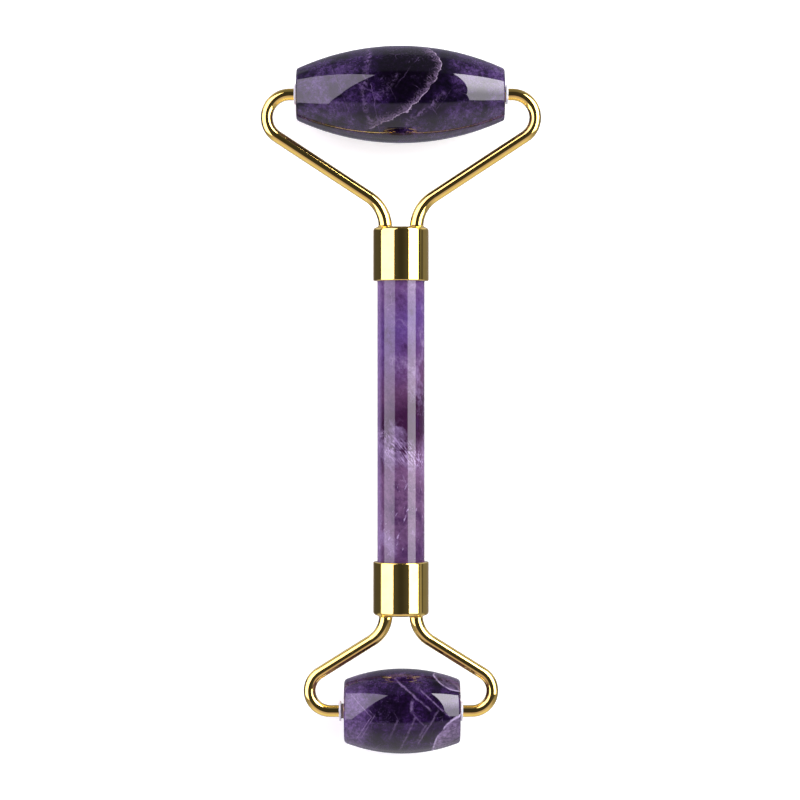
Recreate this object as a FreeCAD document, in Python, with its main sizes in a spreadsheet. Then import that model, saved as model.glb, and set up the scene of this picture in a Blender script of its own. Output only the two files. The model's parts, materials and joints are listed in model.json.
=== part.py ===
"""Double-ended face roller: a stone handle, two capped wire forks and two freely turning stone rollers.

Every sub-part is drawn in the tool's own frame: the handle's axis is Y, the large roller is on the +Y side,
the roller axes run along X, and the origin is the middle of the handle. One resting placement then lays the
whole tool on a table, on its two rollers, with the bottom centre of its bounding box at the origin.
"""
import FreeCAD, Part
import math
import os
import Sketcher
from FreeCAD import Placement, Rotation, Vector

DIMENSIONS = {
    # handle and caps
    "handle_dia": 9.7,
    "handle_edge": 0.4,
    "cap_span": 79.5,        # over the end faces of both caps
    "cap_length": 11.0,
    "cap_dia": 11.4,
    "cap_bore_dia": 9.9,
    "cap_end_wall": 1.2,
    "cap_shoulder": 0.75,    # rounding of the closed end
    "cap_lip": 0.25,         # rounding of the open end
    "resin_gap": 0.1,        # resin between the handle's end and the cap's end wall
    # wire forks
    "wire_dia": 2.45,
    "root_dia": 2.85,        # the wire swells towards its foot
    "pin_dia": 2.15,
    "wire_sink": 0.8,        # depth of each wire in the cap's end wall
    "braze_dia": 3.5,
    "braze_rise": 1.1,       # the collar's crown, inside the wire's surface
    "braze_curve": 1.4,      # radius of the collar's hollow side
    # upper fork, which carries the large roller
    "upper_foot": 3.2,       # from the handle's axis to the wire's, at the cap
    "upper_neck_bend": 7.4,
    "upper_shoulder_bend": 4.7,
    "upper_half_width": 27.5,
    "upper_reach": 27.2,     # cap's end face to roller axis
    # lower fork, which carries the small roller
    "lower_foot": 3.1,
    "lower_neck_bend": 6.15,
    "lower_shoulder_bend": 4.2,
    "lower_half_width": 18.75,
    "lower_reach": 19.7,
    # rollers
    "large_length": 42.6,
    "large_dia": 19.9,
    "large_end_dia": 10.5,
    "large_edge": 0.6,
    "small_length": 23.8,
    "small_dia": 17.4,
    "small_end_dia": 12.8,
    "small_edge": 0.9,
    "roller_bore_dia": 3.15,
    "large_float": 0.15,     # mean clearance at each end
    "small_float": 0.35,
    "large_shift": -0.1,     # where the roller rests within its clearance, along X
    "small_shift": 0.25,
    # bearings
    "sleeve_dia": 3.05,
    "sleeve_length": 5.0,
    "washer_dia": 4.1,
    "washer_thickness": 0.45,
    "washer_edge": 0.12,
    "pin_past_sleeve": 0.6,
}

doc = FreeCAD.newDocument("face_roller")
sheet = doc.addObject("Spreadsheet::Sheet", "dims")
for row, (name, value) in enumerate(DIMENSIONS.items(), 1):
    sheet.set(f"A{row}", name)
    sheet.set(f"B{row}", str(value))
    sheet.setAlias(f"B{row}", name)
doc.recompute()


def size(name):
    return float(sheet.get(name))


# ---------------------------------------------------------------- the resting placement

large_axis_y = size("cap_span") / 2 + size("upper_reach")
small_axis_y = -size("cap_span") / 2 - size("lower_reach")
large_radius = size("large_dia") / 2
small_radius = size("small_dia") / 2
tilt = math.asin((large_radius - small_radius) / (large_axis_y - small_axis_y))
front = large_axis_y * math.cos(tilt) + large_radius
back = small_axis_y * math.cos(tilt) - small_radius
REST = Placement(
    Vector(0, -(front + back) / 2, large_radius - large_axis_y * math.sin(tilt)),
    Rotation(Vector(1, 0, 0), math.degrees(tilt)),
)


def at_rest(x=0.0, y=0.0):
    """The resting placement of a piece drawn about its own origin at (x, y) of the tool's frame."""
    return REST.multiply(Placement(Vector(x, y, 0), Rotation()))


# ---------------------------------------------------------------- helpers for bodies and sketches

pieces = []


def new_body(name, placement):
    body = doc.addObject("PartDesign::Body", name)
    body.Label = name
    body.Placement = placement
    pieces.append(body)
    return body


def new_sketch(body, name, plane, offset=None):
    sketch = body.newObject("Sketcher::SketchObject", name)
    support = next(o for o in body.Origin.OriginFeatures if o.Role == plane)
    sketch.AttachmentSupport = [(support, "")]
    sketch.MapMode = "FlatFace"
    if offset is not None:
        sketch.AttachmentOffset = offset
    return sketch


def constrain(sketch, expression, *arguments):
    """Adds a dimension and binds it to an expression on the spreadsheet."""
    index = sketch.addConstraint(Sketcher.Constraint(*arguments))
    sketch.setExpression(f"Constraints[{index}]", expression)
    return index


def circle_sketch(body, name, plane, diameter, offset=None):
    """A circle about the sketch's origin; diameter is an alias in the spreadsheet."""
    sketch = new_sketch(body, name, plane, offset)
    circle = Part.Circle(Vector(0, 0, 0), Vector(0, 0, 1), size(diameter) / 2)
    edge = sketch.addGeometry(circle)
    sketch.addConstraint(Sketcher.Constraint("Coincident", edge, 3, -1, 1))
    constrain(sketch, f"dims.{diameter}", "Diameter", edge, size(diameter))
    return sketch


def pad(body, name, sketch, length, reverse=False):
    """Pads a sketch; length is an expression on the spreadsheet."""
    feature = body.newObject("PartDesign::Pad", name)
    feature.Profile = sketch
    feature.Reversed = reverse
    feature.setExpression("Length", length)
    sketch.Visibility = False
    return feature


def pocket(body, name, sketch, length, reverse=False):
    """Cuts a sketch; length is an expression on the spreadsheet."""
    feature = body.newObject("PartDesign::Pocket", name)
    feature.Profile = sketch
    feature.Reversed = reverse
    feature.setExpression("Length", length)
    sketch.Visibility = False
    return feature


def edges_of_circle(shape, radius, axis, along):
    """Names of the circular edges of this radius whose centres lie at `along` on an axis (0 X, 1 Y, 2 Z)."""
    names = []
    for number, edge in enumerate(shape.Edges, 1):
        if edge.Curve.TypeId != "Part::GeomCircle" or abs(edge.Curve.Radius - radius) > 1e-6:
            continue
        if abs(edge.Curve.Center[axis] - along) < 1e-6:
            names.append(f"Edge{number}")
    assert names, f"no circular edge of radius {radius} at {along}"
    return names


def dress(body, kind, name, base, edges, expression, value="Radius"):
    """A Fillet or Chamfer on named edges of the base feature."""
    feature = body.newObject(f"PartDesign::{kind}", name)
    feature.Base = (base, edges)
    feature.setExpression(value, expression)
    doc.recompute()
    return feature


def end_at(sketch, edge, point):
    """The vertex, 1 or 2, at which this edge of the sketch meets the point."""
    distances = [sketch.getPoint(edge, vertex).distanceToPoint(point) for vertex in (1, 2)]
    return 1 + distances.index(min(distances))


def closed_outline(sketch, corners):
    """Straight sides through the corners, joined end to end and numbered from 0."""
    count = len(corners)
    for number in range(count):
        sketch.addGeometry(Part.LineSegment(corners[number], corners[(number + 1) % count]))
    for number in range(count):
        sketch.addConstraint(Sketcher.Constraint("Coincident", number, 2, (number + 1) % count, 1))


def turn(body, name, profile, axis):
    """Revolves a half-section about the sketch's own H_Axis or V_Axis."""
    feature = body.newObject("PartDesign::Revolution", name)
    feature.Profile = profile
    feature.ReferenceAxis = (profile, [axis])
    feature.Angle = 360
    doc.recompute()
    return feature


# ---------------------------------------------------------------- handle, caps and resin

def make_handle():
    """A plain polished rod that ends just short of both caps' end walls, with small chamfers."""
    body = new_body("handle", at_rest())
    section = circle_sketch(body, "handle_section", "XZ_Plane", "handle_dia")
    rod = pad(body, "handle_rod", section, "dims.cap_span - 2 * (dims.cap_end_wall + dims.resin_gap)")
    rod.Midplane = True
    doc.recompute()
    end = size("cap_span") / 2 - size("cap_end_wall") - size("resin_gap")
    radius = size("handle_dia") / 2
    rims = edges_of_circle(rod.Shape, radius, 1, end) + edges_of_circle(rod.Shape, radius, 1, -end)
    dress(body, "Chamfer", "handle_edges", rod, rims, "dims.handle_edge", "Size")


def make_cap(name, side, foot):
    """A turned cup over the handle's end, with two sockets in its end wall for the wires' feet.

    side is 1 for the cap on the +Y side and -1 for the other; its end face is at its own y = 0.
    """
    body = new_body(name, at_rest(0, side * size("cap_span") / 2))
    profile = new_sketch(body, name + "_profile", "XY_Plane")
    outer, inner = size("cap_dia") / 2, size("cap_bore_dia") / 2
    wall, mouth = -side * size("cap_end_wall"), -side * size("cap_length")
    closed_outline(profile, [
        Vector(0, 0, 0), Vector(outer, 0, 0), Vector(outer, mouth, 0),
        Vector(inner, mouth, 0), Vector(inner, wall, 0), Vector(0, wall, 0),
    ])
    for number, kind in enumerate(("Horizontal", "Vertical", "Horizontal", "Vertical", "Horizontal")):
        profile.addConstraint(Sketcher.Constraint(kind, number))
    profile.addConstraint(Sketcher.Constraint("Coincident", 0, 1, -1, 1))
    profile.addConstraint(Sketcher.Constraint("PointOnObject", 4, 2, -2))
    constrain(profile, "dims.cap_dia / 2", "DistanceX", -1, 1, 0, 2, outer)
    constrain(profile, "dims.cap_bore_dia / 2", "DistanceX", -1, 1, 3, 1, inner)
    constrain(profile, f"{-side} * dims.cap_length", "DistanceY", -1, 1, 1, 2, mouth)
    constrain(profile, f"{-side} * dims.cap_end_wall", "DistanceY", -1, 1, 4, 2, wall)
    cup = turn(body, name + "_cup", profile, "V_Axis")

    holes = new_sketch(body, name + "_socket_sketch", "XZ_Plane")
    for number, x_side in enumerate((-1, 1)):
        centre = Vector(x_side * size(foot), 0, 0)
        holes.addGeometry(Part.Circle(centre, Vector(0, 0, 1), size("root_dia") / 2))
        holes.addConstraint(Sketcher.Constraint("PointOnObject", number, 3, -1))
        constrain(holes, "dims.root_dia", "Diameter", number, size("root_dia"))
        constrain(holes, f"{x_side} * dims.{foot}", "DistanceX", -1, 1, number, 3, x_side * size(foot))
    sockets = pocket(body, name + "_sockets", holes, "dims.wire_sink", reverse=side > 0)
    doc.recompute()
    removed = cup.Shape.Volume - sockets.Shape.Volume
    wanted = 2 * math.pi / 4 * size("root_dia") ** 2 * size("wire_sink")
    assert abs(removed - wanted) < 0.01, f"{name}: the sockets cut {removed} mm3, not {wanted}"

    rim = edges_of_circle(sockets.Shape, outer, 1, 0)
    shoulder = dress(body, "Fillet", name + "_shoulder", sockets, rim, "dims.cap_shoulder")
    lip = edges_of_circle(shoulder.Shape, outer, 1, mouth)
    dress(body, "Fillet", name + "_lip", shoulder, lip, "dims.cap_lip")


def make_adhesive(name, side):
    """The cured resin: a thin cup that fills the space between the handle's end and its cap."""
    body = new_body(name, at_rest(0, side * size("cap_span") / 2))
    profile = new_sketch(body, name + "_profile", "XY_Plane")
    outer, inner, bevel = size("cap_bore_dia") / 2, size("handle_dia") / 2, size("handle_edge")
    top = -side * size("cap_end_wall")
    floor = top - side * size("resin_gap")
    mouth = -side * (size("cap_length") - size("cap_lip"))
    closed_outline(profile, [
        Vector(0, top, 0), Vector(outer, top, 0), Vector(outer, mouth, 0), Vector(inner, mouth, 0),
        Vector(inner, floor - side * bevel, 0), Vector(inner - bevel, floor, 0), Vector(0, floor, 0),
    ])
    profile.addConstraint(Sketcher.Constraint("PointOnObject", 0, 1, -2))
    profile.addConstraint(Sketcher.Constraint("Vertical", 6))
    for number in (0, 2, 5):
        profile.addConstraint(Sketcher.Constraint("Horizontal", number))
    for number in (1, 3):
        profile.addConstraint(Sketcher.Constraint("Vertical", number))
    top_text = f"{-side} * dims.cap_end_wall"
    floor_text = f"{-side} * (dims.cap_end_wall + dims.resin_gap)"
    constrain(profile, "dims.cap_bore_dia / 2", "DistanceX", -1, 1, 0, 2, outer)
    constrain(profile, "dims.handle_dia / 2", "DistanceX", -1, 1, 2, 2, inner)
    constrain(profile, "dims.handle_dia / 2 - dims.handle_edge", "DistanceX", -1, 1, 4, 2, inner - bevel)
    constrain(profile, top_text, "DistanceY", -1, 1, 0, 1, top)
    constrain(profile, f"{-side} * (dims.cap_length - dims.cap_lip)", "DistanceY", -1, 1, 1, 2, mouth)
    constrain(profile, floor_text, "DistanceY", -1, 1, 4, 2, floor)
    constrain(profile, f"{floor_text} - {side} * dims.handle_edge", "DistanceY", -1, 1, 3, 2,
              floor - side * bevel)
    turn(body, name + "_layer", profile, "V_Axis")


# ---------------------------------------------------------------- wire forks

def shoulder_x(fork):
    """X of the turned shoulder at the wire's end, which backs the washer."""
    roller = FORKS[fork]["roller"]
    return size(roller + "_length") / 2 + size(roller + "_float") + size("washer_thickness")


def centreline(body, name, fork, side, x_side, drawn):
    """The whole centreline of one wire in a sketch; the edges not in drawn are construction lines.

    Edges: 0 foot in the cap's wall, 1 neck bend, 2 straight run, 3 shoulder bend, 4 stub at the roller. The
    neck bend starts at the cap's end face, and the straight run is the common tangent of the two bends.
    """
    foot, neck, bend = (size(f"{fork}_{word}") for word in ("foot", "neck_bend", "shoulder_bend"))
    reach, half_width = size(fork + "_reach"), size(fork + "_half_width")
    neck_centre = Vector(foot + neck, 0, 0)
    bend_centre = Vector(half_width - bend, reach - bend, 0)
    gap = bend_centre - neck_centre
    slope = math.atan2(gap.y, gap.x) - math.asin((neck + bend) / gap.Length)
    square = Vector(-math.sin(slope), math.cos(slope), 0)

    def place(vector):
        return Vector(x_side * vector.x, side * vector.y, 0)

    def on_circle(centre, radius, angle):
        return place(centre + Vector(radius * math.cos(angle), radius * math.sin(angle), 0))

    neck_end = place(neck_centre + square * neck)
    bend_start = place(bend_centre - square * bend)
    bend_end = place(Vector(bend_centre.x, reach, 0))
    neck_start = place(Vector(foot, 0, 0))
    neck_middle = on_circle(neck_centre, neck, (math.pi + math.pi / 2 + slope) / 2)
    bend_middle = on_circle(bend_centre, bend, slope / 2)
    edges = [
        Part.LineSegment(place(Vector(foot, -size("wire_sink"), 0)), neck_start),
        Part.Arc(neck_start, neck_middle, neck_end),
        Part.LineSegment(neck_end, bend_start),
        Part.Arc(bend_start, bend_middle, bend_end),
        Part.LineSegment(bend_end, place(Vector(shoulder_x(fork), reach, 0))),
    ]
    sketch = new_sketch(body, name, "XY_Plane")
    for number, edge in enumerate(edges):
        sketch.addGeometry(edge, number not in drawn)

    for number, joint in enumerate((neck_start, neck_end, bend_start, bend_end)):
        ends = (number, end_at(sketch, number, joint), number + 1, end_at(sketch, number + 1, joint))
        sketch.addConstraint(Sketcher.Constraint("Tangent", *ends))
    sketch.addConstraint(Sketcher.Constraint("Vertical", 0))
    sketch.addConstraint(Sketcher.Constraint("PointOnObject", 0, end_at(sketch, 0, neck_start), -1))
    last = end_at(sketch, 4, edges[4].EndPoint)
    sketch.addConstraint(Sketcher.Constraint("Horizontal", 4))
    constrain(sketch, f"dims.{fork}_neck_bend", "Radius", 1, neck)
    constrain(sketch, f"dims.{fork}_shoulder_bend", "Radius", 3, bend)
    constrain(sketch, f"{x_side} * dims.{fork}_foot", "DistanceX", -1, 1, 0, 1, x_side * foot)
    constrain(sketch, f"{-side} * dims.wire_sink", "DistanceY", -1, 1, 0, 1, -side * size("wire_sink"))
    constrain(sketch, f"{side} * dims.{fork}_reach", "DistanceY", -1, 1, 4, last, side * reach)
    constrain(sketch, f"{x_side} * (dims.{fork}_half_width - dims.{fork}_shoulder_bend)",
              "DistanceX", -1, 1, 3, 3, x_side * bend_centre.x)
    roller = FORKS[fork]["roller"]
    shoulder = f"dims.{roller}_length / 2 + dims.{roller}_float + dims.washer_thickness"
    constrain(sketch, f"{x_side} * ({shoulder})", "DistanceX", -1, 1, 4, last, x_side * shoulder_x(fork))
    sketch.Visibility = False
    doc.recompute()
    return sketch


def make_arm(name, fork, side, x_side):
    """One bent wire: a swelling neck on the cap, a straight run, a shoulder bend and a turned-down pin."""
    body = new_body(name, at_rest(0, side * size("cap_span") / 2))
    root_path = centreline(body, name + "_root_path", fork, side, x_side, drawn=(0, 1))
    root_section = circle_sketch(body, name + "_root_section", "XZ_Plane", "root_dia", Placement(
        Vector(x_side * size(fork + "_foot"), 0, side * size("wire_sink")), Rotation()))
    root_section.setExpression("AttachmentOffset.Base.x", f"{x_side} * dims.{fork}_foot")
    root_section.setExpression("AttachmentOffset.Base.z", f"{side} * dims.wire_sink")
    neck_edge = [edge.Curve.TypeId for edge in root_path.Shape.Edges].index("Part::GeomCircle") + 1
    neck_section = circle_sketch(body, name + "_neck_section", "XY_Plane", "wire_dia")
    neck_section.AttachmentSupport = [(root_path, f"Edge{neck_edge}")]
    neck_section.MapMode = "NormalToEdge"
    neck_section.MapPathParameter = far_parameter(root_path, neck_edge)
    root = body.newObject("PartDesign::AdditivePipe", name + "_root")
    root.Profile = root_section
    root.Spine = root_path
    root.Sections = [neck_section]
    root.Transformation = "Multisection"
    doc.recompute()

    run_path = centreline(body, name + "_run_path", fork, side, x_side, drawn=(2, 3, 4))
    end_offset = Placement(Vector(side * size(fork + "_reach"), 0, x_side * shoulder_x(fork)), Rotation())
    run_section = circle_sketch(body, name + "_run_section", "YZ_Plane", "wire_dia", end_offset)
    run = body.newObject("PartDesign::AdditivePipe", name + "_run")
    run.Profile = run_section
    run.Spine = run_path
    doc.recompute()
    pin_section = circle_sketch(body, name + "_pin_section", "YZ_Plane", "pin_dia", end_offset)
    pin = pad(body, name + "_pin", pin_section,
              "dims.washer_thickness + dims.sleeve_length + dims.pin_past_sleeve", reverse=x_side > 0)
    doc.recompute()

    run_wanted = math.pi / 4 * size("wire_dia") ** 2 * run_path.Shape.Length
    run_volume = run.Shape.Volume - root.Shape.Volume
    assert abs(run_volume - run_wanted) < 0.01 * run_wanted, f"{name}: run {run_volume}, not {run_wanted}"
    pin_wanted = math.pi / 4 * size("pin_dia") ** 2 * pin.Length.Value
    pin_volume = pin.Shape.Volume - run.Shape.Volume
    assert abs(pin_volume - pin_wanted) < 0.01 * pin_wanted, f"{name}: pin {pin_volume}, not {pin_wanted}"
    return body


def far_parameter(path, edge_number):
    """0 or 1: the end of the neck bend that is farther from the cap."""
    edge = path.Shape.getElement(f"Edge{edge_number}")
    starts_low = abs(edge.valueAt(edge.FirstParameter).y) < abs(edge.valueAt(edge.LastParameter).y)
    return 1.0 if starts_low else 0.0


def make_brazing(name, fork, side, x_side, arm):
    """The small concave collar of filler metal around a wire's foot."""
    collar = doc.addObject("PartDesign::Body", name + "_collar")
    collar.Placement = at_rest(x_side * size(fork + "_foot"), side * size("cap_span") / 2)
    profile = new_sketch(collar, name + "_profile", "XY_Plane")
    radius, rise, inner = size("braze_dia") / 2, size("braze_rise"), size("wire_dia") / 2
    corner, rim = Vector(0, 0, 0), Vector(radius, 0, 0)
    crown, top = Vector(inner, side * rise, 0), Vector(0, side * rise, 0)
    chord = crown - rim
    outward = Vector(side * chord.y, -side * chord.x, 0).normalize()
    curve = size("braze_curve")
    sag = curve - math.sqrt(curve ** 2 - (chord.Length / 2) ** 2)
    profile.addGeometry(Part.LineSegment(corner, rim))
    profile.addGeometry(Part.Arc(rim, (rim + crown) * 0.5 - outward * sag, crown))
    profile.addGeometry(Part.LineSegment(crown, top))
    profile.addGeometry(Part.LineSegment(top, corner))
    for joint in ((0, 1, -1, 1), (0, 2, 1, end_at(profile, 1, rim)), (2, 1, 1, end_at(profile, 1, crown)),
                  (2, 2, 3, 1), (3, 2, 0, 1)):
        profile.addConstraint(Sketcher.Constraint("Coincident", *joint))
    for kind, line in (("Horizontal", 0), ("Horizontal", 2), ("Vertical", 3)):
        profile.addConstraint(Sketcher.Constraint(kind, line))
    constrain(profile, "dims.braze_dia / 2", "DistanceX", -1, 1, 0, 2, radius)
    constrain(profile, "dims.wire_dia / 2", "DistanceX", -1, 1, 2, 1, inner)
    constrain(profile, f"{side} * dims.braze_rise", "DistanceY", -1, 1, 2, 1, side * rise)
    constrain(profile, "dims.braze_curve", "Radius", 1, curve)
    turn(collar, name + "_ring", profile, "V_Axis")
    brazing = doc.addObject("Part::Cut", name)
    brazing.Label = name
    brazing.Base = collar
    brazing.Tool = arm
    pieces.append(brazing)


# ---------------------------------------------------------------- rollers and bearings

def make_roller(name, prefix, axis_y):
    """A barrel-shaped stone with a through bore, turned about X and rounded at its end faces."""
    body = new_body(name, at_rest(size(prefix + "_shift"), axis_y))
    half, radius = size(prefix + "_length") / 2, size(prefix + "_dia") / 2
    end_radius, bore = size(prefix + "_end_dia") / 2, size("roller_bore_dia") / 2
    profile = new_sketch(body, name + "_profile", "XY_Plane")
    profile.addGeometry(Part.LineSegment(Vector(-half, bore, 0), Vector(half, bore, 0)))
    profile.addGeometry(Part.LineSegment(Vector(half, bore, 0), Vector(half, end_radius, 0)))
    crown = Part.Arc(Vector(half, end_radius, 0), Vector(0, radius, 0), Vector(-half, end_radius, 0))
    profile.addGeometry(crown)
    profile.addGeometry(Part.LineSegment(Vector(-half, end_radius, 0), Vector(-half, bore, 0)))
    for joint in ((0, 2, 1, 1), (1, 2, 2, 1), (2, 2, 3, 1), (3, 2, 0, 1)):
        profile.addConstraint(Sketcher.Constraint("Coincident", *joint))
    profile.addConstraint(Sketcher.Constraint("Horizontal", 0))
    profile.addConstraint(Sketcher.Constraint("Vertical", 1))
    profile.addConstraint(Sketcher.Constraint("Vertical", 3))
    profile.addConstraint(Sketcher.Constraint("PointOnObject", 2, 3, -2))
    constrain(profile, f"dims.{prefix}_length / 2", "DistanceX", -1, 1, 0, 2, half)
    constrain(profile, "dims.roller_bore_dia / 2", "DistanceY", -1, 1, 0, 2, bore)
    constrain(profile, f"dims.{prefix}_end_dia / 2", "DistanceY", -1, 1, 1, 2, end_radius)
    sag, chord = radius - end_radius, half
    crown_radius = (chord ** 2 + sag ** 2) / (2 * sag)
    sag_text = f"((dims.{prefix}_dia - dims.{prefix}_end_dia) / 2)"
    constrain(profile, f"(dims.{prefix}_length ^ 2 / 4 + {sag_text} ^ 2) / (2 * {sag_text})",
              "Radius", 2, crown_radius)
    stone = turn(body, name + "_stone", profile, "H_Axis")
    rims = [edge for x in (half, -half) for edge in edges_of_circle(stone.Shape, end_radius, 0, x)]
    dress(body, "Fillet", name + "_edges", stone, rims, f"dims.{prefix}_edge")


def make_ring(name, placement, outer, length, x_side):
    """A ring on the pin, from its own x = 0 towards the roller's middle."""
    body = new_body(name, placement)
    sketch = circle_sketch(body, name + "_section", "YZ_Plane", outer)
    sketch.addGeometry(Part.Circle(Vector(0, 0, 0), Vector(0, 0, 1), size("pin_dia") / 2))
    sketch.addConstraint(Sketcher.Constraint("Coincident", 1, 3, -1, 1))
    constrain(sketch, "dims.pin_dia", "Diameter", 1, size("pin_dia"))
    ring = pad(body, name + "_ring", sketch, f"dims.{length}", reverse=x_side > 0)
    doc.recompute()
    return body, ring


def make_bearing(place, fork, x_side, axis_y):
    """The white washer against the wire's shoulder, and the tan sleeve inboard of it."""
    shoulder = x_side * shoulder_x(fork)
    name = place + "_washer"
    body, ring = make_ring(name, at_rest(shoulder, axis_y), "washer_dia", "washer_thickness", x_side)
    rims = []
    for face_x in (0, -x_side * size("washer_thickness")):
        rims += edges_of_circle(ring.Shape, size("washer_dia") / 2, 0, face_x)
    dress(body, "Fillet", name + "_edges", ring, rims, "dims.washer_edge")
    inner_face = shoulder - x_side * size("washer_thickness")
    make_ring(place + "_sleeve", at_rest(inner_face, axis_y), "sleeve_dia", "sleeve_length", x_side)


# ---------------------------------------------------------------- the assembly

FORKS = {
    "upper": {"side": 1, "roller": "large", "axis_y": large_axis_y},
    "lower": {"side": -1, "roller": "small", "axis_y": small_axis_y},
}

make_handle()
for fork, facts in FORKS.items():
    make_cap(fork + "_cap", facts["side"], fork + "_foot")
    make_adhesive(fork + "_adhesive", facts["side"])
    make_roller(facts["roller"] + "_roller", facts["roller"], facts["axis_y"])
    for hand, x_side in (("left", -1), ("right", 1)):
        place = f"{fork}_{hand}"
        arm = make_arm(place + "_arm", fork, facts["side"], x_side)
        make_brazing(place + "_brazing", fork, facts["side"], x_side, arm)
        make_bearing(place, fork, x_side, facts["axis_y"])
doc.recompute()

for item in doc.Objects:
    assert not {"Invalid", "Error"} & set(item.State), f"{item.Name} failed: {item.State}"
os.makedirs("parts", exist_ok=True)
for piece in pieces:
    assert not piece.Shape.isNull() and piece.Shape.isValid(), f"{piece.Label} has no valid shape"
    assert len(piece.Shape.Solids) == 1, f"{piece.Label} is {len(piece.Shape.Solids)} solids"
    piece.Shape.exportStep(f"parts/{piece.Label}.step")
    print(f"{piece.Label:24} {piece.Shape.Volume:10.2f} mm3")
print(f"tilt {math.degrees(tilt):.4f} degrees, {len(pieces)} pieces")
for name, axis_y in (("large", large_axis_y), ("small", small_axis_y)):
    axis_point = at_rest(0, axis_y).Base
    print(f"{name} roller's axis at y {axis_point.y:.4f}, z {axis_point.z:.4f} mm")
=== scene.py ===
"""Double-ended amethyst face roller: looks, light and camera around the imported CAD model."""
import json
import math

import bpy
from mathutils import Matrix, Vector


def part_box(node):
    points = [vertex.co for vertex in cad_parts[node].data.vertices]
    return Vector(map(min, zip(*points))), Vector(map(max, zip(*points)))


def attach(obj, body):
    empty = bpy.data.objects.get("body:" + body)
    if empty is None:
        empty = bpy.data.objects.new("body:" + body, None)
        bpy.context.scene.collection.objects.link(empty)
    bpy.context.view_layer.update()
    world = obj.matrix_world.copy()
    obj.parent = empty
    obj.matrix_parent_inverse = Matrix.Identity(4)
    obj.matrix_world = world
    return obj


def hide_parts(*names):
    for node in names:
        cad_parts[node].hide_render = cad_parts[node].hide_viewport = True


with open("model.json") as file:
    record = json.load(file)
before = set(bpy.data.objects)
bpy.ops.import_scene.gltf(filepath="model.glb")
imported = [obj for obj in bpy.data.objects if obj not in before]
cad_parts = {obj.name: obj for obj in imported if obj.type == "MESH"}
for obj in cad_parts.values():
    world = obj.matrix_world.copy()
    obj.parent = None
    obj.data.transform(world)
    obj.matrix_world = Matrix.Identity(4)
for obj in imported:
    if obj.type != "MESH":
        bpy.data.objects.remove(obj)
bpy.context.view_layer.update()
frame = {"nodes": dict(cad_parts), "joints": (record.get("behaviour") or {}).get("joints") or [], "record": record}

MM = 0.001
BUMP_DEPTH = 0.1 * MM
nodes = frame["nodes"]
joint_at = {j["child"]: Vector(j["pos_m"]) for j in frame["joints"]}


# ---------------------------------------------------------------- node helpers

class Graph:
    """Builds a material's node tree with one call per node."""

    def __init__(self, tree):
        self.tree = tree
        self.tree.nodes.clear()

    def node(self, kind, inputs=(), **settings):
        made = self.tree.nodes.new(kind)
        for name, value in settings.items():
            setattr(made, name, value)
        for socket, value in dict(inputs).items():
            self.feed(made.inputs[socket], value)
        return made

    def feed(self, socket, value):
        if isinstance(value, bpy.types.NodeSocket):
            self.tree.links.new(value, socket)
        elif value is not None:
            socket.default_value = value

    def math(self, operation, a, b=None, c=None):
        made = self.node("ShaderNodeMath", {0: a}, operation=operation)
        self.feed(made.inputs[1], b)
        self.feed(made.inputs[2], c)
        return made.outputs[0]

    def vector(self, operation, a, b=None, scale=None):
        made = self.node("ShaderNodeVectorMath", {0: a}, operation=operation)
        self.feed(made.inputs[1], b)
        if scale is not None:
            self.feed(made.inputs["Scale"], scale)
        return made.outputs["Value" if operation in ("LENGTH", "DISTANCE", "DOT_PRODUCT") else 0]

    def noise(self, at, scale, detail=4.0, roughness=0.55, out="Fac"):
        made = self.node(
            "ShaderNodeTexNoise", {"Vector": at, "Scale": scale, "Detail": detail, "Roughness": roughness},
        )
        return made.outputs[out]

    def smooth(self, value, low, high, to_low=0.0, to_high=1.0):
        """Smooth step of value from low to high."""
        made = self.node(
            "ShaderNodeMapRange",
            {"Value": value, "From Min": low, "From Max": high, "To Min": to_low, "To Max": to_high},
            interpolation_type="SMOOTHSTEP",
        )
        return made.outputs[0]

    def line(self, distance, width):
        """1 on the surface where distance is 0, falling to 0 at width."""
        return self.smooth(self.math("ABSOLUTE", distance), width, 0.0)

    def ramp(self, value, stops):
        """Colour that runs through (place, colour) stops as value goes from 0 to 1."""
        made = self.node("ShaderNodeValToRGB", {"Fac": value})
        band = made.color_ramp
        while len(band.elements) < len(stops):
            band.elements.new(0.5)
        for element, (place, colour) in zip(band.elements, stops):
            element.position = place
            element.color = (*colour, 1.0)
        return made.outputs["Color"]

    def mix(self, amount, a, b):
        """Colour a where amount is 0 and colour b where it is 1."""
        made = self.node("ShaderNodeMix", data_type="RGBA", clamp_factor=True)
        self.feed(made.inputs["Factor"], amount)
        self.feed(made.inputs["A"], rgba(a))
        self.feed(made.inputs["B"], rgba(b))
        return made.outputs["Result"]

    def shift(self, at, amount, scale, detail=3.0):
        """Coordinates pushed about by noise, by up to about amount."""
        cloud = self.noise(at, scale, detail, out="Color")
        centred = self.vector("SUBTRACT", cloud, (0.5, 0.5, 0.5))
        return self.vector("ADD", at, self.vector("SCALE", centred, scale=2.0 * amount))


def rgba(colour):
    """The colour with a full alpha if it is a plain RGB tuple, or else the value as it is."""
    return (*colour, 1.0) if isinstance(colour, tuple) and len(colour) == 3 else colour


def material(name, slot_colour, build):
    """A material whose tree build(graph, coordinates in mm) fills; it returns the shader's inputs."""
    made = bpy.data.materials.new(name)
    made.use_nodes = True
    made.diffuse_color = (*slot_colour, 1.0)
    graph = Graph(made.node_tree)
    place = graph.node("ShaderNodeTexCoord")
    in_mm = graph.vector("SCALE", place.outputs["Object"], scale=1.0 / MM)
    shader = graph.node("ShaderNodeBsdfPrincipled")
    for socket, value in build(graph, in_mm).items():
        graph.feed(shader.inputs[socket], rgba(value))
    graph.node("ShaderNodeOutputMaterial", {"Surface": shader.outputs[0]})
    return made


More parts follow.
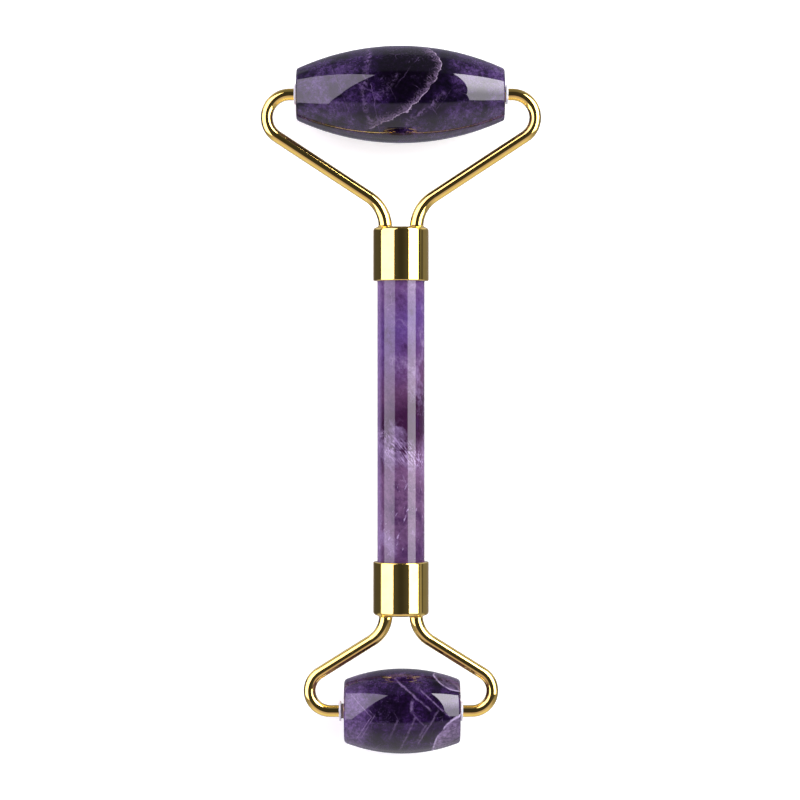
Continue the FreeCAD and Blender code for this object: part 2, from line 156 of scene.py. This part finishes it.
def bump(graph, height, strength):
    made = graph.node("ShaderNodeBump", {"Height": height, "Strength": strength, "Distance": BUMP_DEPTH})
    return made.outputs["Normal"]


# ---------------------------------------------------------------- metal and plastics

def gold(graph, at):
    """Bright plating: nearly a mirror, with faint polishing lines and haze."""
    haze = graph.noise(at, 0.55, 5.0)
    scratches = graph.noise(graph.vector("MULTIPLY", at, (1.0, 0.16, 1.0)), 6.0, 6.0, 0.7)
    colour = graph.mix(graph.smooth(haze, 0.35, 0.75), (1.0, 0.74, 0.20), (0.97, 0.70, 0.175))
    polish = graph.smooth(scratches, 0.35, 0.8, 0.03, 0.085)
    return {
        "Base Color": colour, "Metallic": 1.0,
        "Roughness": graph.math("ADD", polish, graph.smooth(haze, 0.5, 0.8, 0.0, 0.03)),
        "Normal": bump(graph, scratches, 0.005),
    }


def braze(graph, at):
    """The filler collar: the same plating over a slightly lumpy cast surface."""
    lumps = graph.noise(at, 1.6, 3.0)
    colour = graph.mix(lumps, (0.95, 0.66, 0.14), (0.80, 0.55, 0.18))
    return {
        "Base Color": colour, "Metallic": 1.0, "Roughness": graph.smooth(lumps, 0.3, 0.8, 0.1, 0.24),
        "Normal": bump(graph, lumps, 0.25),
    }


def nylon(graph, at):
    """Moulded white nylon with a soft grain."""
    grain = graph.noise(at, 3.0, 5.0)
    colour = graph.mix(grain, (0.88, 0.85, 0.82), (0.76, 0.73, 0.70))
    return {
        "Base Color": colour, "Roughness": graph.smooth(grain, 0.3, 0.7, 0.35, 0.55),
        "Subsurface Weight": 0.15, "Normal": bump(graph, grain, 0.15),
    }


def sleeve(graph, at):
    """Tan moulded plastic."""
    grain = graph.noise(at, 2.5, 5.0)
    colour = graph.mix(grain, (0.50, 0.38, 0.28), (0.36, 0.27, 0.19))
    return {
        "Base Color": colour, "Roughness": graph.smooth(grain, 0.3, 0.7, 0.4, 0.6),
        "Normal": bump(graph, grain, 0.2),
    }


def resin(graph, at):
    """Cured adhesive, faintly cloudy."""
    cloud = graph.noise(at, 1.2, 4.0)
    colour = graph.mix(cloud, (0.60, 0.55, 0.44), (0.45, 0.40, 0.32))
    return {"Base Color": colour, "Roughness": graph.smooth(cloud, 0.3, 0.7, 0.25, 0.4)}


# ---------------------------------------------------------------- stones

# Places in the stones are in mm: from the roller's middle, or from the handle's for the handle.
QUARTZ_IOR = 1.544
SMALL_SHIFT = 0.25            # of the small roller's pattern along X
HANDLE_ZONES = 62.0           # length of the handle's colour zones, measured across their slant
HANDLE_ZONES_START = 36.0     # how far below the middle they start

# (normal, offset) of the planes that bound the large stone's growth zone
GROWTH_PLANES = [
    ((0.78, 0.63, 0.0), 10.1), ((0.888, -0.46, 0.0), 5.1),
    ((0.684, -0.729, 0.0), 4.0), ((0.353, -0.936, 0.0), 4.75),
]
# (start, end, width, strength) of healed cracks and straight growth lines
LARGE_FROSTED_SEAMS = [
    ((-6.3, 9.0), (-7.8, 0.0), 1.1, 0.5),
    ((-7.8, 0.0), (-6.0, -7.5), 1.0, 0.45),
    ((-0.6, 3.1), (-5.3, -2.7), 0.7, 0.26),
    ((0.8, -6.8), (9.0, -0.6), 1.0, 0.42),
]
LARGE_FINE_SEAMS = [
    ((1.8, 4.6), (-1.0, 0.6), 0.16, 0.1),
    ((-9.3, 1.5), (-4.4, -1.3), 0.15, 0.25),
    ((-6.0, 1.0), (-4.4, -8.0), 0.12, 0.38),
    ((6.1, -3.0), (7.6, -5.6), 0.12, 0.22),
    ((-14.0, 4.5), (-10.0, -5.5), 0.14, 0.18),
]
SMALL_FINE_SEAMS = [
    ((-10.4, 3.96), (-6.3, -0.35), 0.16, 0.9),
    ((-6.3, -0.35), (-9.2, -4.9), 0.16, 0.9),
    ((-6.6, 0.9), (-5.66, -0.14), 0.12, 0.6),
    ((-5.66, -0.14), (-8.4, -4.9), 0.2, 0.5),
    ((3.9, 4.8), (9.5, -0.35), 0.26, 0.55),
]
SMALL_ROUGH_SEAMS = [
    ((-1.4, 7.0), (3.5, 2.9), 0.32, 0.6),
    ((3.5, 2.9), (5.6, 1.1), 0.3, 0.5),
    ((2.1, 2.9), (1.9, 0.7), 0.5, 0.6),
    ((1.9, 0.7), (4.8, -2.6), 0.3, 0.3),
    ((7.2, 0.7), (3.1, -6.1), 0.34, 0.4),
    ((4.8, -2.0), (3.1, -5.3), 0.4, 0.35),
    ((2.7, -0.35), (-0.4, -7.3), 0.34, 0.38),
    ((-0.8, -0.76), (-2.6, -4.9), 0.4, 0.28),
]
# (middle, radius, strength) of the balls that show as pale crescents in the small stone
CRESCENTS = [
    ((10.55, -3.6, 1.5), 6.0, 0.85),
    ((12.2, 11.0, 3.5), 6.7, 0.55),
    ((-9.0, -5.0, -7.0), 6.5, 0.7),
]


def patches(graph, at, scale, low, high):
    """A soft mask that comes and goes over the stone."""
    return graph.smooth(graph.noise(at, scale, 3.0), low, high)


def times(graph, *masks):
    total = masks[0]
    for mask in masks[1:]:
        total = graph.math("MULTIPLY", total, mask)
    return total


def strongest(graph, masks):
    total = masks[0]
    for mask in masks[1:]:
        total = graph.math("MAXIMUM", total, mask)
    return total


def plane(graph, at, normal, offset):
    """Signed distance from the plane normal . at = offset."""
    facing = Vector(normal).normalized()
    return graph.math("SUBTRACT", graph.vector("DOT_PRODUCT", at, tuple(facing)), offset)


def ball(graph, at, centre, radius):
    """Signed distance from a ball's surface."""
    return graph.math("SUBTRACT", graph.vector("DISTANCE", at, centre), radius)


def seam(graph, at, start, end, width):
    """A soft line between two points of the XY plane, running straight into the stone."""
    start, end = Vector((*start, 0)), Vector((*end, 0))
    run = (end - start).normalized()
    across = plane(graph, at, (run.y, -run.x, 0), start.x * run.y - start.y * run.x)
    along = plane(graph, at, run, start.dot(run))
    length = (end - start).length
    return times(
        graph, graph.line(across, width),
        graph.smooth(along, -0.7, 0.5), graph.smooth(along, length + 0.7, length - 0.5),
    )


def seams(graph, at, table, *masks):
    """One mask per (start, end, width, strength) row of the table."""
    return [times(graph, seam(graph, at, *row[:3]), *masks, row[3]) for row in table]


def cracks(graph, at, scale, width):
    """A net of fine lines between cells, broken up so that only stretches of it show."""
    cells = graph.node("ShaderNodeTexVoronoi", {"Vector": at, "Scale": scale}, feature="DISTANCE_TO_EDGE")
    net = graph.smooth(cells.outputs["Distance"], width * scale, 0.0)
    return times(graph, net, patches(graph, at, scale * 1.7, 0.5, 0.7))


def leaning(graph, at, turn_degrees, width, length):
    """Coordinates in which a unit is this wide and this long, along a line that leans in the XY plane."""
    turned = graph.node(
        "ShaderNodeVectorRotate", {"Vector": at, "Angle": math.radians(turn_degrees)}, rotation_type="Z_AXIS",
    )
    return graph.vector("MULTIPLY", turned.outputs[0], (1.0 / width, 1.0 / length, 1.0 / width))


def needles(graph, at, turn_degrees, width, length, low, high):
    """Short straight pale strokes that all lean the same way."""
    return graph.smooth(graph.noise(leaning(graph, at, turn_degrees, width, length), 1.0, 2.0), low, high)


def grained(graph, at, colour, contrast, frost, frost_colour):
    """The colour broken up by the crystal grain, with pale specks where frost is high."""
    grain = graph.noise(graph.shift(at, 0.25, 1.6), 1.35, 6.0, 0.72)
    shade = graph.smooth(grain, 0.36, 0.66, 1.0 - contrast, 1.0 + contrast)
    colour = graph.vector("SCALE", colour, scale=shade)
    specks = graph.smooth(graph.noise(at, 2.7, 4.0, 0.75), 0.52, 0.72)
    return graph.mix(times(graph, specks, frost), colour, frost_colour)


def stone_finish(graph, at, colour, veins):
    """Polished quartz: a clear gloss over the colour, faint polishing waves, and pits along the veins."""
    waves = graph.noise(at, 0.25, 2.0)
    pits = graph.smooth(graph.noise(at, 4.5, 3.0), 0.66, 0.76)
    pits = times(graph, pits, graph.math("ADD", times(graph, veins, 0.8), 0.15))
    height = graph.math("SUBTRACT", waves, times(graph, pits, 0.15))
    polish = graph.smooth(waves, 0.3, 0.7, 0.01, 0.03)
    return {
        "Base Color": colour, "IOR": QUARTZ_IOR,
        "Roughness": graph.math("ADD", polish, times(graph, pits, 0.3)),
        "Normal": bump(graph, height, 0.008),
    }


def large_stone(graph, at):
    """Near-black violet quartz with mottled clouds, a feathered pale growth line and healed cracks."""
    local = graph.vector("SUBTRACT", at, tuple(joint_at["large_roller"] / MM))
    apart = graph.node("ShaderNodeSeparateXYZ", {0: local})
    x, z = apart.outputs["X"], apart.outputs["Z"]
    front = graph.smooth(z, -2.0, 2.5)
    clouds = graph.noise(graph.shift(local, 0.8, 0.35, 5.0), 0.16, 10.0, 0.68)
    colour = graph.ramp(clouds, [
        (0.36, (0.0010, 0.0003, 0.003)), (0.47, (0.005, 0.0014, 0.013)),
        (0.56, (0.014, 0.005, 0.032)), (0.70, (0.050, 0.026, 0.092)),
    ])
    # a black heart, and a paler veil over the ends
    to_heart = ball(graph, graph.shift(local, 1.6, 0.2), (1.5, 3.9, 6.9), 7.0)
    heart = times(graph, graph.smooth(to_heart, 1.5, -2.0), front)
    colour = graph.mix(times(graph, heart, 0.92), colour, (0.0015, 0.0003, 0.003))
    ends = times(graph, graph.smooth(graph.math("ABSOLUTE", x), 5.0, 17.0), graph.smooth(clouds, 0.40, 0.6))
    colour = graph.mix(times(graph, ends, 0.7), colour, (0.050, 0.028, 0.090))
    # the growth line: the bent edge of a zone, with pale strokes growing into it
    bent = graph.shift(local, 1.2, 0.4, 6.0)
    first, *others = (plane(graph, bent, normal, offset) for normal, offset in GROWTH_PLANES)
    edge = first
    for other in others:
        edge = graph.math("SMOOTH_MAX", edge, other, 0.8)
    outward = graph.vector("NORMALIZE", graph.vector("SUBTRACT", bent, (-2.9, 3.4, 4.4)))
    strokes = graph.noise(graph.vector("SCALE", outward, scale=34.0), 1.0, 4.0)
    reach = graph.smooth(strokes, 0.3, 0.7, -0.6, -2.3)
    shown = times(graph, front, graph.smooth(x, -8.0, -4.5))
    comb = times(
        graph, graph.smooth(graph.math("DIVIDE", edge, reach), 1.0, 0.05), graph.smooth(edge, 0.03, -0.03),
        graph.smooth(strokes, 0.28, 0.62, 0.3, 1.0), shown,
    )
    rim = times(graph, graph.line(edge, 0.14), shown, patches(graph, local, 0.7, 0.30, 0.62))
    # healed cracks
    fine = graph.shift(local, 0.45, 0.6, 5.0)
    wide = graph.shift(local, 0.9, 0.3, 6.0)
    frost = patches(graph, local, 1.6, 0.40, 0.62)
    veins = seams(graph, wide, LARGE_FROSTED_SEAMS, frost) + seams(graph, fine, LARGE_FINE_SEAMS)
    fleck = graph.smooth(graph.noise(local, 0.5, 4.0), 0.35, 0.6, 0.35, 1.0)
    net = strongest(graph, [
        times(graph, strongest(graph, veins), front, fleck),
        times(graph, cracks(graph, fine, 0.13, 0.09), 0.22),
    ])
    specked = graph.smooth(clouds, 0.44, 0.64, 0.0, 0.5)
    colour = grained(graph, local, colour, 0.6, specked, (0.13, 0.105, 0.17))
    woolly = graph.smooth(graph.noise(local, 1.9, 5.0, 0.75), 0.36, 0.62, 0.35, 1.0)
    colour = graph.mix(times(graph, comb, woolly, 0.8), colour, (0.140, 0.098, 0.165))
    colour = graph.mix(net, colour, (0.18, 0.12, 0.25))
    colour = graph.mix(times(graph, rim, 0.8), colour, (0.44, 0.36, 0.47))
    return stone_finish(graph, at, colour, strongest(graph, [rim, net]))


def small_stone(graph, at):
    """Violet quartz with a chevron growth line, a paler left end, pale crescents at the right, and painted shade
    on its flanks.
    """
    centre = joint_at["small_roller"] / MM + Vector((SMALL_SHIFT, 0, 0))
    local = graph.vector("SUBTRACT", at, tuple(centre))
    apart = graph.node("ShaderNodeSeparateXYZ", {0: local})
    x, z = apart.outputs["X"], apart.outputs["Z"]
    front = graph.smooth(z, -1.0, 2.0)
    clouds = graph.noise(graph.shift(local, 0.7, 0.4, 5.0), 0.2, 10.0, 0.68)
    colour = graph.ramp(clouds, [
        (0.36, (0.003, 0.0009, 0.006)), (0.47, (0.011, 0.003, 0.025)),
        (0.56, (0.027, 0.010, 0.056)), (0.70, (0.076, 0.044, 0.124)),
    ])
    heart = graph.smooth(ball(graph, graph.shift(local, 1.2, 0.3), (-2.4, 0.9, 7.5), 3.2), 1.4, -1.2)
    colour = graph.mix(times(graph, heart, 0.85), colour, (0.003, 0.0008, 0.006))
    # the paler end to the left of the chevron
    ragged_x = graph.math("ADD", x, graph.smooth(clouds, 0.3, 0.7, -1.5, 1.5))
    left = times(graph, graph.smooth(ragged_x, -6.2, -8.4), graph.smooth(clouds, 0.3, 0.62, 0.35, 0.9))
    colour = graph.mix(left, colour, (0.098, 0.058, 0.155))
    # straight growth lines
    fine = graph.shift(local, 0.14, 0.8, 4.0)
    rough = graph.shift(local, 0.35, 0.8, 5.0)
    lines = seams(graph, fine, SMALL_FINE_SEAMS) + seams(graph, rough, SMALL_ROUGH_SEAMS)
    fleck = graph.smooth(graph.noise(local, 1.2, 6.0, 0.75), 0.38, 0.62, 0.25, 1.0)
    net = strongest(graph, [
        times(graph, strongest(graph, lines), front, fleck),
        times(graph, cracks(graph, rough, 0.16, 0.08), 0.35),
    ])
    # pale crescents
    wavy = graph.shift(local, 0.3, 0.35, 4.0)
    rims = []
    for middle, radius, strength in CRESCENTS:
        depth = ball(graph, wavy, middle, radius)
        body = times(
            graph, graph.smooth(depth, 0.06, -0.06), graph.smooth(clouds, 0.34, 0.62, 0.4, 1.0),
            graph.smooth(depth, -4.0, -0.2, 0.3, 1.0),
        )
        colour = graph.mix(times(graph, body, strength), colour, (0.20, 0.145, 0.25))
        broken = patches(graph, local, 0.55, 0.38, 0.6)
        rims.append(times(graph, graph.line(depth, 0.24), broken, strength))
    y = apart.outputs["Y"]
    # painted shade: the colour falls to 60% towards both flanks of the roller, beyond about 3 mm above and 5 mm
    # below its middle in Y
    painted_flank_shade = times(graph, graph.smooth(y, 3.0, 6.0, 1.0, 0.6), graph.smooth(y, -5.0, -8.0, 1.0, 0.6))
    colour = graph.vector("SCALE", colour, scale=painted_flank_shade)
    specked = graph.smooth(clouds, 0.42, 0.62, 0.0, 0.35)
    colour = grained(graph, local, colour, 0.5, specked, (0.13, 0.095, 0.19))
    colour = graph.mix(net, colour, (0.21, 0.145, 0.28))
    colour = graph.mix(strongest(graph, rims), colour, (0.46, 0.38, 0.56))
    return stone_finish(graph, at, colour, net)


def handle_stone(graph, at):
    """Lavender quartz that darkens to deep violet, with short pale fractures and a painted highlight along its
    left edge.
    """
    place = graph.node("ShaderNodeSeparateXYZ", {0: at})
    y = place.outputs["Y"]
    slanted = graph.vector("DOT_PRODUCT", graph.shift(at, 2.6, 0.14, 5.0), (-0.55, 1.0, 0.25))
    along = graph.math("MULTIPLY_ADD", slanted, 1 / HANDLE_ZONES, HANDLE_ZONES_START / HANDLE_ZONES)
    colour = graph.ramp(along, [
        (0.0, (0.040, 0.014, 0.052)), (0.10, (0.062, 0.027, 0.080)), (0.22, (0.104, 0.053, 0.112)),
        (0.40, (0.110, 0.054, 0.116)), (0.47, (0.030, 0.007, 0.030)), (0.59, (0.026, 0.005, 0.026)),
        (0.67, (0.076, 0.031, 0.078)), (0.77, (0.075, 0.034, 0.114)), (0.88, (0.074, 0.037, 0.146)),
        (1.0, (0.090, 0.044, 0.126)),
    ])
    clouds = graph.noise(leaning(graph, graph.shift(at, 1.0, 0.4, 5.0), -42.0, 5.0, 9.0), 1.0, 10.0, 0.68)
    colour = graph.mix(graph.smooth(clouds, 0.5, 0.66, 0.0, 0.7), colour, (0.19, 0.13, 0.245))
    colour = graph.mix(graph.smooth(clouds, 0.49, 0.33, 0.0, 0.8), colour, (0.030, 0.008, 0.046))
    # painted light: along the left edge (x below about -4 mm) the colour is mixed halfway to a pale lavender,
    # standing in for the brighter glow of the side that faces the left softbox
    colour = graph.mix(graph.smooth(place.outputs["X"], -3.7, -4.6, 0.0, 0.5), colour, (0.24, 0.17, 0.33))
    # fractures: dense in one band, scattered below it, nearly none above
    slope = graph.math("MULTIPLY_ADD", place.outputs["X"], 0.45, y)
    band = times(
        graph, graph.smooth(slope, -14.5, -11.5), graph.smooth(slope, -7.0, -9.0),
        patches(graph, at, 0.35, 0.38, 0.58),
    )
    below = times(graph, graph.smooth(y, -34.0, -30.0), graph.smooth(y, -14.0, -20.0))
    marks = strongest(graph, [
        times(graph, needles(graph, at, -38.0, 0.30, 1.8, 0.46, 0.62), band),
        times(graph, needles(graph, at, 28.0, 0.5, 2.0, 0.64, 0.74), below),
        times(graph, needles(graph, at, -52.0, 0.22, 2.2, 0.70, 0.82), 0.5),
        times(graph, cracks(graph, graph.shift(at, 0.7, 0.5, 4.0), 0.12, 0.12), 0.35),
    ])
    colour = grained(graph, at, colour, 0.16, graph.smooth(clouds, 0.46, 0.66, 0.0, 0.25), (0.26, 0.18, 0.38))
    colour = graph.mix(times(graph, marks, 0.8), colour, (0.34, 0.25, 0.42))
    return stone_finish(graph, at, colour, marks)


LOOKS = {
    "gold_plate": gold, "braze": braze, "white_nylon": nylon, "tan_sleeve": sleeve, "clear_resin": resin,
    "handle_stone": handle_stone, "large_roller_stone": large_stone, "small_roller_stone": small_stone,
}
slot_colours = {m["slot"]: tuple(m["base_color"][:3]) for m in frame["record"]["materials"]}
materials = {slot: material(slot + "_look", slot_colours[slot], build) for slot, build in LOOKS.items()}
for part in frame["record"]["subparts"]:
    piece = nodes[part["node"]]
    piece.data.materials.clear()
    piece.data.materials.append(materials[part["material_slot"]])


# ---------------------------------------------------------------- rollers

ARC_STEPS = 72
EDGE_STEPS = 8
TURN_STEPS = 128
BORE_DIA = 3.15 * MM


def barrel_profile(half_length, radius, end_radius, bore_radius, edge):
    """(x, radius) points of half a barrel, from its middle over the rounded rim and down to the bore."""
    sag = radius - end_radius
    crown = (half_length ** 2 + sag ** 2) / (2 * sag)
    centre = radius - crown
    rim_x = half_length - edge
    rim_radius = centre + math.sqrt((crown - edge) ** 2 - rim_x ** 2)
    lean = math.atan2(rim_x, rim_radius - centre)
    points = []
    for i in range(ARC_STEPS // 2):
        a = lean * i / (ARC_STEPS // 2)
        points.append((crown * math.sin(a), centre + crown * math.cos(a)))
    for i in range(EDGE_STEPS + 1):
        a = lean + (math.pi / 2 - lean) * i / EDGE_STEPS
        points.append((rim_x + edge * math.sin(a), rim_radius + edge * math.cos(a)))
    points += [
        (half_length, rim_radius - edge / 4), (half_length, bore_radius + edge / 8),
        (half_length, bore_radius),
    ]
    return points


def turned_roller(node, end_dia, bore_dia, edge):
    """The barrel of a roller's CAD node as a finely turned mesh, closed through its bore."""
    low, high = (Vector(corner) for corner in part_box(node))
    middle = Vector(((low.x + high.x) / 2, *joint_at[node].yz))
    half = barrel_profile((high.x - low.x) / 2, (high.y - low.y) / 2, end_dia / 2, bore_dia / 2, edge)
    rings = [(-x, r) for x, r in reversed(half[1:])] + half
    verts, faces = [], []
    for x, r in rings:
        for k in range(TURN_STEPS):
            a = 2 * math.pi * k / TURN_STEPS
            verts.append((middle.x + x, middle.y + r * math.cos(a), middle.z + r * math.sin(a)))
    for i in range(len(rings)):
        here, there = i * TURN_STEPS, (i + 1) % len(rings) * TURN_STEPS
        for k in range(TURN_STEPS):
            k2 = (k + 1) % TURN_STEPS
            faces.append((here + k, here + k2, there + k2, there + k))
    mesh = bpy.data.meshes.new(node + "_turned")
    mesh.from_pydata(verts, [], faces)
    mesh.polygons.foreach_set("use_smooth", [True] * len(faces))
    mesh.materials.append(materials[node + "_stone"])
    made = bpy.data.objects.new(node + "_turned", mesh)
    bpy.context.scene.collection.objects.link(made)
    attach(made, node)
    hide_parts(node)


turned_roller("large_roller", end_dia=10.5 * MM, bore_dia=BORE_DIA, edge=0.6 * MM)
turned_roller("small_roller", end_dia=12.8 * MM, bore_dia=BORE_DIA, edge=0.9 * MM)


# ---------------------------------------------------------------- studio

AXIS_HEIGHT = 0.0094        # of the handle over the floor
CAMERA_DISTANCE = 0.60
VIEW_HEIGHT = 0.164         # of the picture, at the handle
SOFTBOX_DISTANCE = 0.75
FLOOR_HALF = 0.7
SENSOR_WIDTH = 36.0
TABLE_LEANS = (-45.0, -75.0)  # between these the table ahead turns from violet-grey to white
ABOVE_GLOW = 0.13
BELOW_GLOW = 0.38
CORNER_GLOW = 0.72


def floor():
    """White paper that glows towards its edges, where the panels' light falls off."""
    mesh = bpy.data.meshes.new("floor")
    corners = [(x * FLOOR_HALF, y * FLOOR_HALF, 0) for x, y in ((-1, -1), (1, -1), (1, 1), (-1, 1))]
    mesh.from_pydata(corners, [], [(0, 1, 2, 3)])
    made = bpy.data.objects.new("floor", mesh)
    bpy.context.scene.collection.objects.link(made)
    look = bpy.data.materials.new("floor_paper")
    look.use_nodes = True
    graph = Graph(look.node_tree)
    from_middle = graph.vector("LENGTH", graph.node("ShaderNodeTexCoord").outputs["Object"])
    shader = graph.node("ShaderNodeBsdfPrincipled", {
        "Base Color": (0.88, 0.93, 0.84, 1.0), "Roughness": 0.9, "Specular IOR Level": 0.1,
        "Emission Color": (1.0, 1.0, 1.0, 1.0),
        "Emission Strength": graph.smooth(from_middle, 0.15, 0.45, 0.33, 1.0),
    })
    graph.node("ShaderNodeOutputMaterial", {"Surface": shader.outputs[0]})
    mesh.materials.append(look)
    made.visible_glossy = False


def softbox(name, strength, colour, corners):
    """A glowing panel in the directions of its corners, with its strength low and high along +Y."""
    mesh = bpy.data.meshes.new(name)
    reach = [tuple(Vector(c).normalized() * SOFTBOX_DISTANCE) for c in corners]
    mesh.from_pydata(reach, [], [(0, i, i + 1) for i in range(1, len(reach) - 1)])
    made = bpy.data.objects.new(name, mesh)
    bpy.context.scene.collection.objects.link(made)
    look = bpy.data.materials.new(name + "_light")
    look.use_nodes = True
    graph = Graph(look.node_tree)
    toward = graph.vector("NORMALIZE", graph.node("ShaderNodeTexCoord").outputs["Object"])
    y = graph.node("ShaderNodeSeparateXYZ", {0: toward}).outputs["Y"]
    strength_at = graph.smooth(y, 0.0, 0.5, *strength)
    glow = graph.node("ShaderNodeEmission", {"Color": rgba(colour), "Strength": strength_at})
    graph.node("ShaderNodeOutputMaterial", {"Surface": glow.outputs[0]})
    mesh.materials.append(look)
    made.visible_camera = False


def studio_world():
    """A dim room with a pale table ahead (-Y), a paler ceiling (+Y), and white below.

    What reflections see depends on direction only: lean is the angle in degrees from straight up (+Z)
    towards +Y, and aside is how far the direction points left or right. The camera itself sees plain white.
    """
    world = bpy.data.worlds.new("studio")
    bpy.context.scene.world = world
    world.use_nodes = True
    graph = Graph(world.node_tree)
    toward = graph.node("ShaderNodeTexCoord").outputs["Generated"]
    parts = graph.node("ShaderNodeSeparateXYZ", {0: toward})
    x, y, z = parts.outputs["X"], parts.outputs["Y"], parts.outputs["Z"]
    lean = graph.math("DEGREES", graph.math("ARCTAN2", y, z))
    aside = graph.math("ABSOLUTE", x)

    front = times(
        graph, graph.smooth(lean, -24.0, -31.0), graph.smooth(lean, -150.0, -140.0),
        graph.smooth(aside, 0.55, 0.85, 1.0, 0.35), graph.smooth(z, -0.6, 0.1, 0.8, 1.0),
    )
    above = times(graph, graph.smooth(lean, 48.0, 56.0), graph.smooth(lean, 150.0, 140.0))
    below = times(
        graph, graph.smooth(z, -0.12, -0.3),
        graph.smooth(x, -0.6, -0.3, 0.22, 1.0), graph.smooth(x, 0.3, 0.6, 1.0, 0.55),
    )
    far_corners = times(
        graph, graph.smooth(aside, 0.3, 0.5), graph.smooth(y, 0.2, 0.4), graph.smooth(z, -0.1, -0.3),
    )
    room = graph.smooth(aside, 0.05, 0.45, 0.04, 0.07)
    front_glow = times(graph, front, graph.smooth(lean, *TABLE_LEANS, 0.55, 0.78))
    glow = graph.math("ADD", front_glow, times(graph, above, ABOVE_GLOW))
    glow = graph.math("ADD", glow, room)
    seen = graph.node("ShaderNodeLightPath").outputs["Is Camera Ray"]
    glow = strongest(
        graph, [glow, times(graph, below, BELOW_GLOW), times(graph, far_corners, CORNER_GLOW), seen],
    )
    table = graph.mix(graph.smooth(lean, *TABLE_LEANS), (0.98, 0.80, 1.13), (1.0, 0.95, 0.98))
    tint = graph.mix(front, (0.96, 0.94, 1.1), table)
    tint = graph.mix(seen, tint, (1.0, 1.0, 1.0))
    back = graph.node("ShaderNodeBackground", {"Color": tint, "Strength": glow})
    graph.node("ShaderNodeOutputWorld", {"Surface": back.outputs[0]})


def camera():
    data = bpy.data.cameras.new("camera")
    data.sensor_fit = "HORIZONTAL"
    data.sensor_width = SENSOR_WIDTH
    data.lens = data.sensor_width * CAMERA_DISTANCE / VIEW_HEIGHT
    data.clip_start = 0.01
    made = bpy.data.objects.new("camera", data)
    bpy.context.scene.collection.objects.link(made)
    made.location = (-0.0002, 0.0, AXIS_HEIGHT + CAMERA_DISTANCE)
    bpy.context.scene.camera = made


floor()
# each panel's corners run from the inner top, down the inner side, and back up the outer side
softbox("left_softbox", (3.3, 3.3), (1.0, 0.90, 1.09), [
    (-0.183, 0.697, 0.69), (-0.48, 0.0, 0.86), (-0.58, -0.42, 0.70), (-0.93, -0.36, 0.03),
    (-0.72, 0.72, 0.03),
])
softbox("right_softbox", (5.0, 10.2), (1.0, 0.95, 1.04), [
    (0.36, 0.774, 0.52), (0.53, 0.0, 0.846), (0.56, -0.26, 0.787), (0.93, -0.3, 0.25), (0.75, 0.66, 0.18),
])
studio_world()
camera()
bpy.context.scene.view_settings.view_transform = "Standard"
